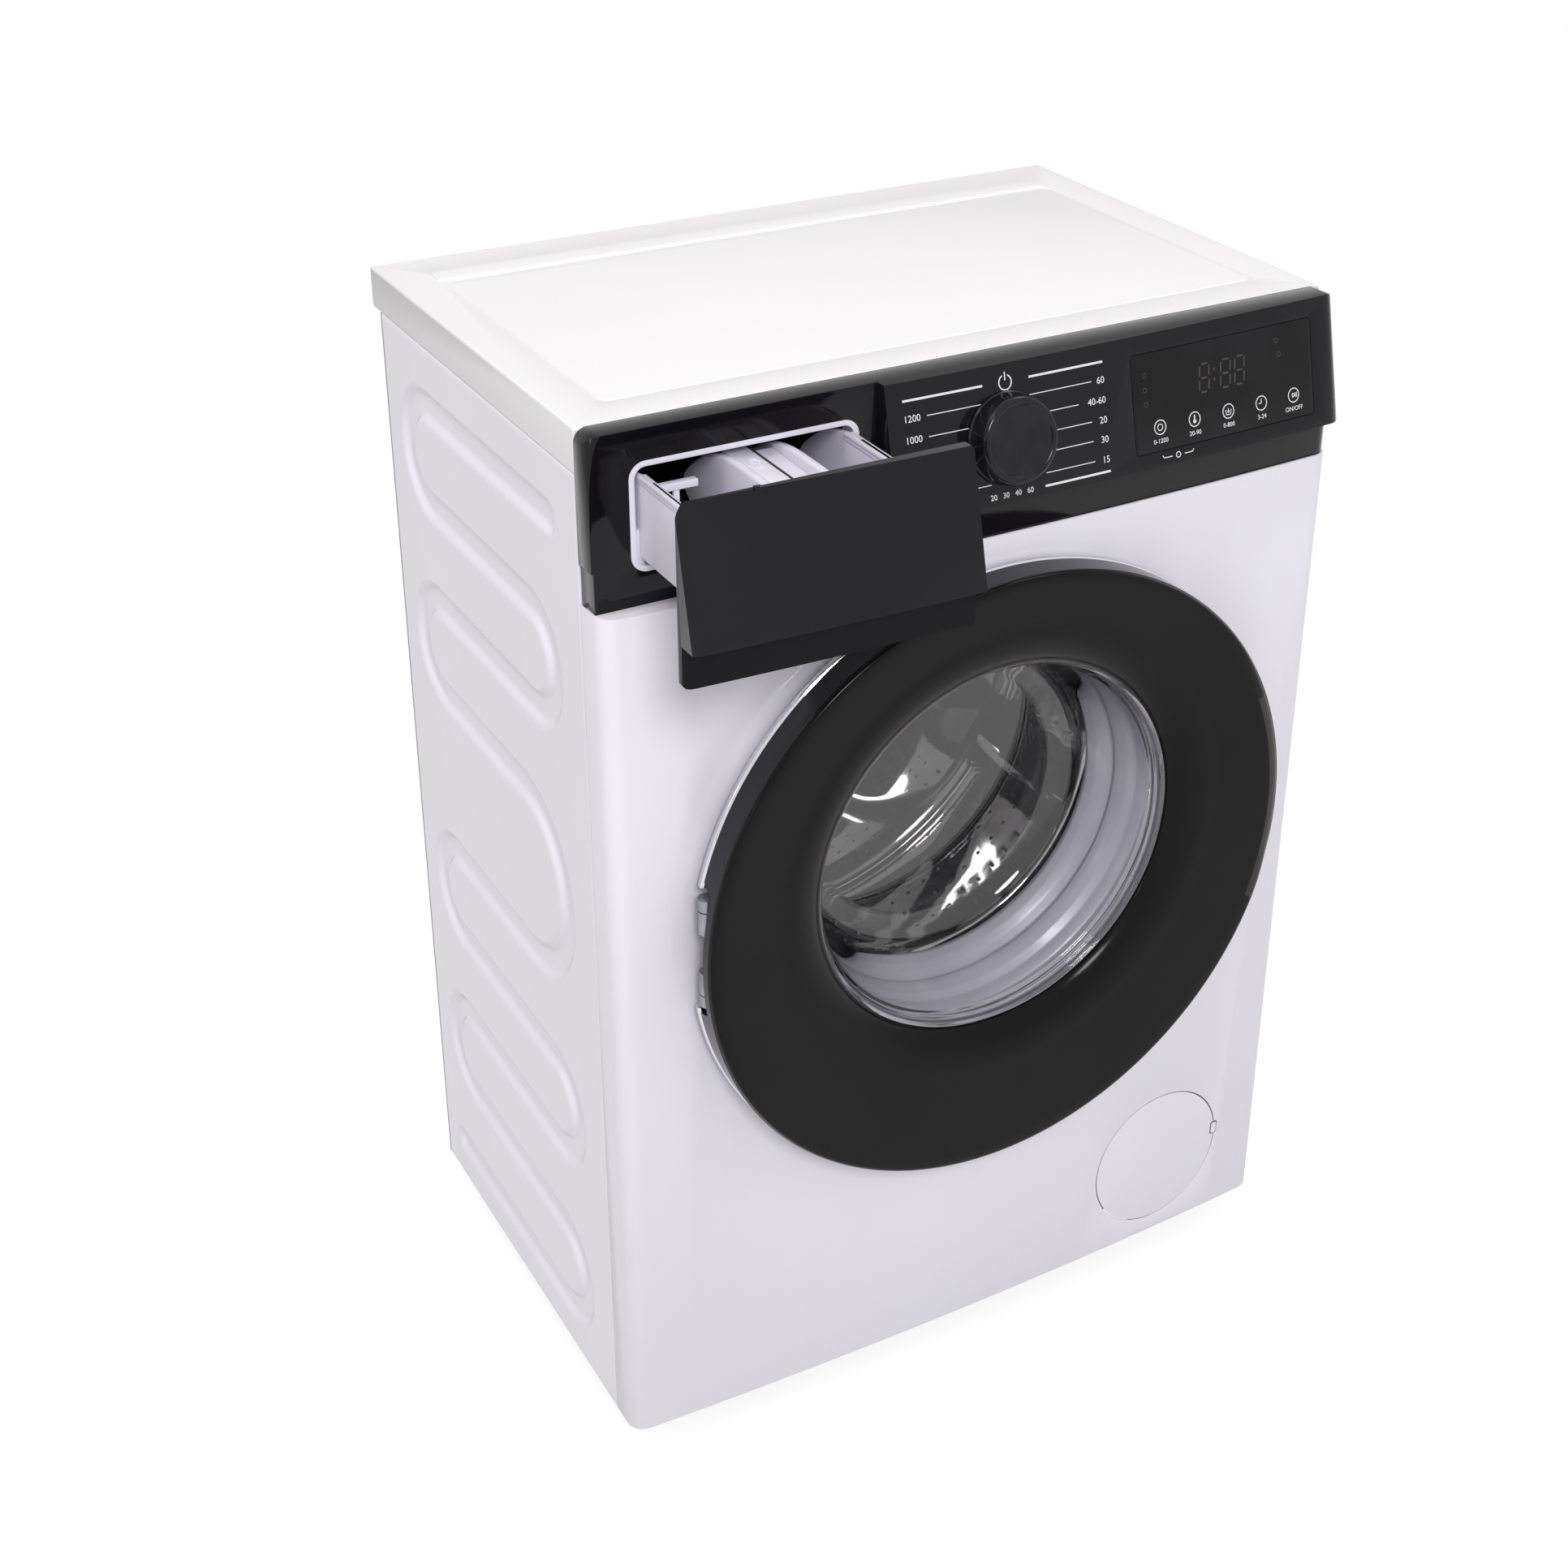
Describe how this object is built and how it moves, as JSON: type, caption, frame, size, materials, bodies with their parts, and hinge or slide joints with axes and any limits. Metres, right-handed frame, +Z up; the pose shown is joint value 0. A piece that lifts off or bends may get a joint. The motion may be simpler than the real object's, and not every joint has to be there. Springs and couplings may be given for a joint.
{
  "type": "front load washing machine",
  "caption": "Slim front-loading washing machine with a bowed front, round dished glass door, opening detergent drawer, rotary selector and turning drum.",
  "frame": {"origin": "on the floor, under the centre of the cabinet's footprint", "axes": "+Z up, -Y out of the door's side, +X to the right of someone facing the door"},
  "size_m": [0.6, 0.54, 0.8515],
  "materials": {
    "white_steel": "gloss enamel",
    "zinc_steel": "galvanised, satin",
    "white_plastic": "fine satin",
    "black_gloss": "polished",
    "smoked_window": "polished, smoked",
    "board_green": "satin",
    "grey_plastic": "satin",
    "tray_plastic": "satin",
    "dark_plastic": "matt",
    "black_rubber": "matt",
    "grey_rubber": "satin",
    "concrete_grey": "rough",
    "polished_steel": "polished",
    "bright_chrome": "mirror",
    "cast_aluminium": "as cast",
    "cast_grey": "as cast",
    "clear_glass": "polished"
  },
  "bodies": {
    "cabinet": {"left_side": "white_steel", "right_side": "white_steel", "rear_panel": "zinc_steel", "rear_cover": "zinc_steel", "base_tray": "dark_plastic", "front_panel": "white_steel", "worktop": "white_plastic", "cross_rails": "zinc_steel", "control_panel": "black_gloss", "display_window": "smoked_window", "display_board": "board_green", "selector": "dark_plastic", "drawer_housing": "tray_plastic", "drawer_hose": "black_rubber", "water_valve": "white_plastic", "inlet_hose": "black_rubber", "tub_front": "grey_plastic", "tub_rear": "grey_plastic", "gasket": "grey_rubber", "gasket_clamp": "polished_steel", "front_weight": "concrete_grey", "top_weight": "concrete_grey", "heater": "polished_steel", "drum_bearings": "polished_steel", "shaft_seal": "black_rubber", "tub_springs": "zinc_steel", "damper_tubes": "dark_plastic", "damper_rods": "zinc_steel", "motor": "cast_grey", "drive_belt": "black_rubber", "drain_pump": "dark_plastic", "sump_hose": "black_rubber", "drain_pipe": "grey_plastic", "mains_gland": "dark_plastic", "door_lock": "dark_plastic", "hinge_bracket": "cast_aluminium", "flap_bracket": "zinc_steel", "feet": "black_rubber", "foot_nuts": "zinc_steel", "transit_bolts": "zinc_steel", "screws": "zinc_steel"},
    "door": {"door_trim": "black_gloss", "door_frame": "bright_chrome", "door_glass": "clear_glass", "hinge_leaf": "cast_aluminium"},
    "latch": {"latch_hook": "zinc_steel"},
    "drum": {"drum_shell": "polished_steel", "drum_back": "polished_steel", "lifters": "polished_steel", "drum_spider": "cast_aluminium", "drum_shaft": "polished_steel", "drum_pulley": "cast_aluminium"},
    "rotor": {"motor_pulley": "zinc_steel"},
    "drawer": {"drawer_front": "black_gloss", "drawer_tray": "tray_plastic", "siphon_cap": "tray_plastic"},
    "selector_knob": {"knob": "black_gloss"},
    "flap": {"filter_flap": "white_plastic"},
    "filter": {"filter_plug": "dark_plastic"}
  },
  "joints": [
    {"name": "door_hinge", "type": "hinge", "parent": "cabinet", "child": "door", "pos_m": [-0.24, -0.2105, 0.47], "axis": [0, 0, -1], "range_deg": [0, 120]},
    {"name": "latch_turn", "type": "hinge", "parent": "door", "child": "latch", "pos_m": [0.214, -0.2135, 0.47], "axis": [0, 0, -1], "range_deg": [-3, 6], "stiffness_Nm_per_rad": 0.02},
    {"name": "drum_spin", "type": "hinge", "parent": "cabinet", "child": "drum", "pos_m": [0, 0, 0.48], "axis": [0, 1, 0], "continuous": true},
    {"name": "motor_spin", "type": "hinge", "parent": "cabinet", "child": "rotor", "pos_m": [0, 0, 0.148], "axis": [0, 1, 0], "continuous": true},
    {"name": "drawer_slide", "type": "slide", "parent": "cabinet", "child": "drawer", "axis": [0, -1, 0], "range_m": [-0.111, 0]},
    {"name": "knob_turn", "type": "hinge", "parent": "cabinet", "child": "selector_knob", "pos_m": [0, -0.19818, 0.8005], "axis": [0, -0.9735, 0.2288], "continuous": true},
    {"name": "flap_hinge", "type": "hinge", "parent": "cabinet", "child": "flap", "pos_m": [0.1125, -0.19031, 0.108], "axis": [0, 0, -1], "range_deg": [0, 90]},
    {"name": "filter_turn", "type": "hinge", "parent": "cabinet", "child": "filter", "pos_m": [0.187, -0.1475, 0.108], "axis": [0, -1, 0], "range_deg": [0, 90]}
  ],
  "couplings": [
    {"joint": "motor_spin", "follows": "drum_spin", "ratio": 15.333}
  ]
}
